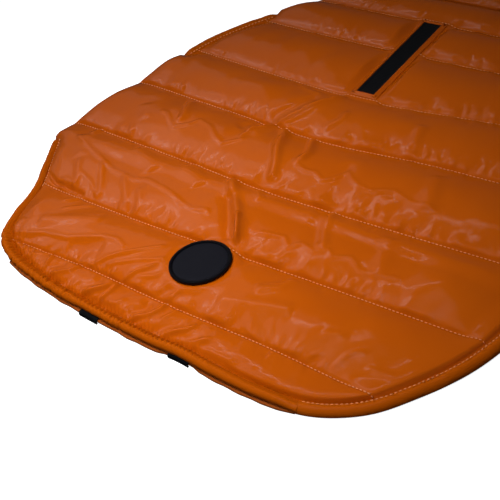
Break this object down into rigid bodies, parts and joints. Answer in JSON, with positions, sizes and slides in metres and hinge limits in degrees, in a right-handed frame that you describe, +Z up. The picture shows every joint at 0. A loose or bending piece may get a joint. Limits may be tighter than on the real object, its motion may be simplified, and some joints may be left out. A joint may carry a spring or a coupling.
{
  "type": "quilted dog winter coat",
  "caption": "Padded dog coat with horizontal quilting, a gathered tail hem, bound sides, a round badge and a lead opening on the spine, laid flat with its back up.",
  "frame": {"origin": "on the surface that the coat lies on, under the middle of the coat's whole outline", "axes": "+Y along the spine from the tail hem to the collar, +X across the coat to the viewer's right, +Z up out of the coat's back"},
  "size_m": [0.4968, 0.5222, 0.0169],
  "materials": {
    "shell_nylon": "glossy burnt-orange coated nylon",
    "edge_nylon": "burnt-orange nylon edge trim and flaps",
    "facing_nylon": "darker orange-brown hem facing",
    "badge_rubber": "matt charcoal moulded rubber",
    "black_tape": "ribbed black tape"
  },
  "bodies": {
    "root": {"back_panel": "shell_nylon", "collar_upper": "shell_nylon", "lead_opening_welt": "shell_nylon", "edge_binding_left": "edge_nylon", "edge_binding_right": "edge_nylon", "hem_casing": "edge_nylon", "leg_binding_left": "edge_nylon", "leg_binding_right": "edge_nylon", "belly_flap_left": "edge_nylon", "belly_flap_right": "edge_nylon", "chest_panel": "edge_nylon", "collar_under": "edge_nylon", "hem_facing": "facing_nylon", "hem_tab_left": "black_tape", "hem_tab_right": "black_tape", "lead_opening_tape": "black_tape", "badge": "badge_rubber"}
  },
  "joints": []
}
